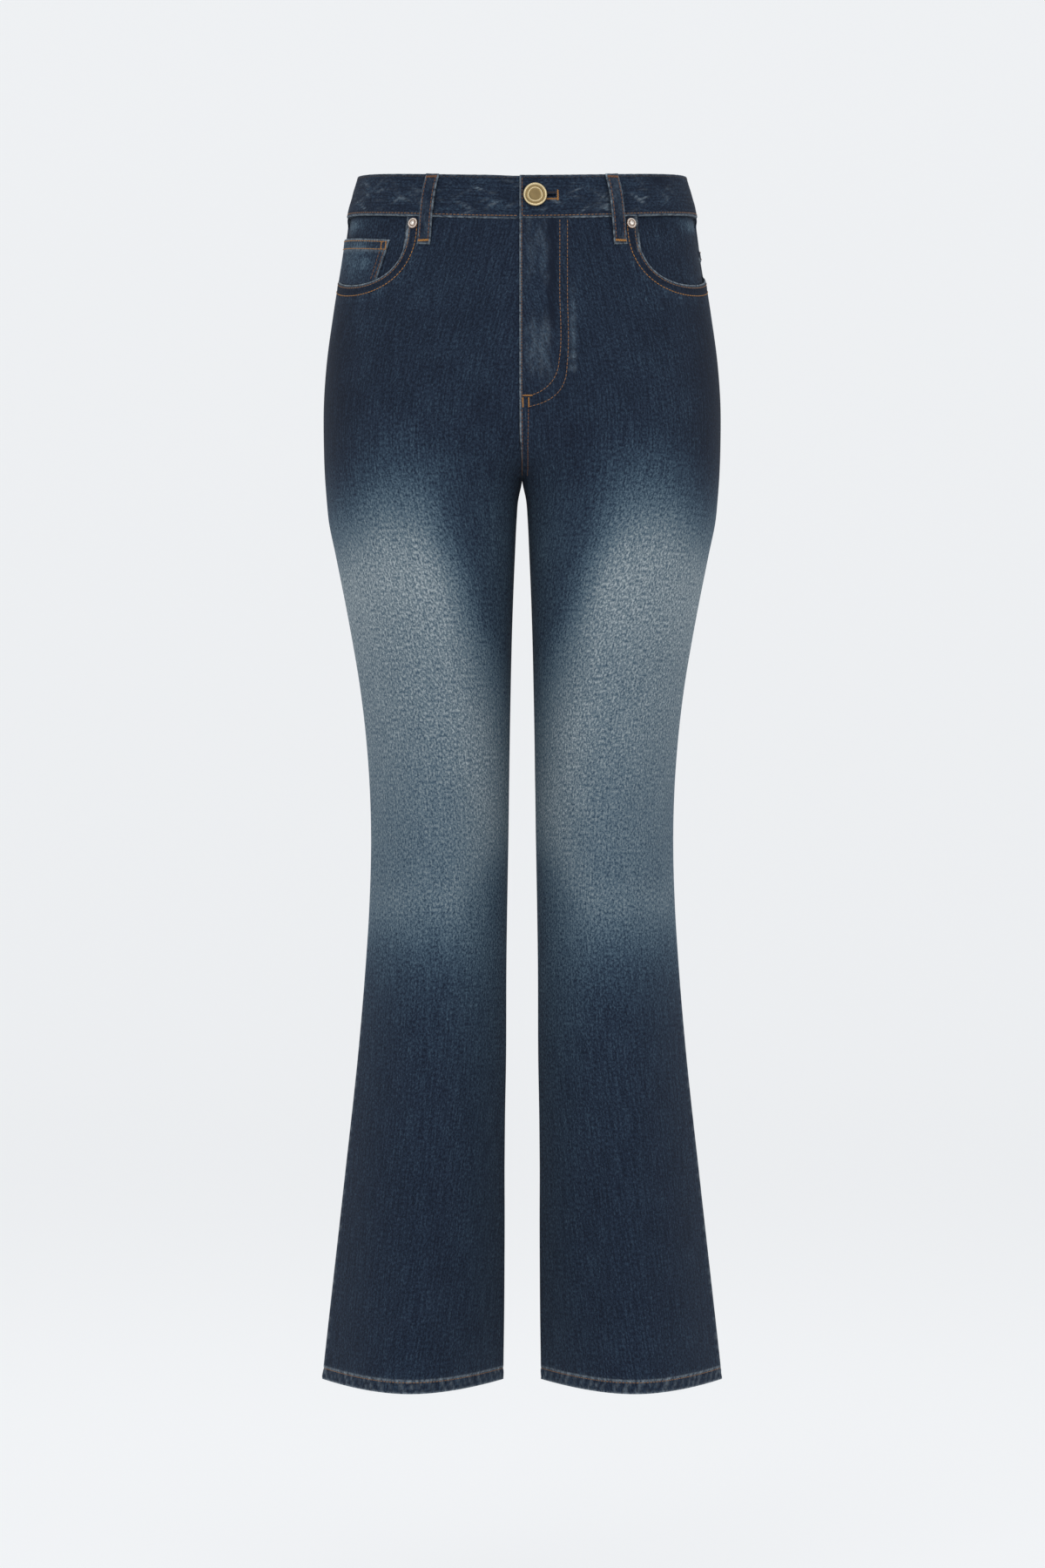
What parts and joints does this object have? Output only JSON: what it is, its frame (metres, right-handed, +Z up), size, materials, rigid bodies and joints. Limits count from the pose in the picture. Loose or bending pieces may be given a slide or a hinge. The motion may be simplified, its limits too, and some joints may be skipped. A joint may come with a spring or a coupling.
{
  "type": "bootcut jeans",
  "caption": "Hollow bootcut denim trousers in their worn shape, open at the waist and hems, with yokes, pockets, belt loops and a buttoned zip fly.",
  "frame": {"origin": "middle of the waist opening, about halfway up the waistband, where the wearer holds the jeans up", "axes": "+Z up the body, -Y out of the front, +X towards the wearer's left"},
  "size_m": [0.3402, 0.2354, 1.0368],
  "materials": {
    "denim": "dark indigo twill, faded on the thighs, tan topstitching",
    "denim_dark": "dark indigo twill, unfaded",
    "zip": "dark woven tape with a closed metal chain",
    "antique_brass": "antique, satin",
    "rivet_metal": "worn pale plating over copper"
  },
  "bodies": {
    "root": {"front_left": "denim", "front_right": "denim", "back_left": "denim", "back_right": "denim", "yoke_left": "denim", "yoke_right": "denim", "waistband": "denim", "belt_loop_front_left": "denim", "belt_loop_front_right": "denim", "belt_loop_back_left": "denim", "belt_loop_back_right": "denim", "belt_loop_centre_back": "denim", "pocket_facing_left": "denim_dark", "pocket_facing_right": "denim_dark", "coin_pocket": "denim", "back_pocket_left": "denim", "back_pocket_right": "denim", "fly_zip": "zip", "waist_button": "antique_brass", "rivet_left": "rivet_metal", "rivet_right": "rivet_metal"}
  },
  "joints": []
}
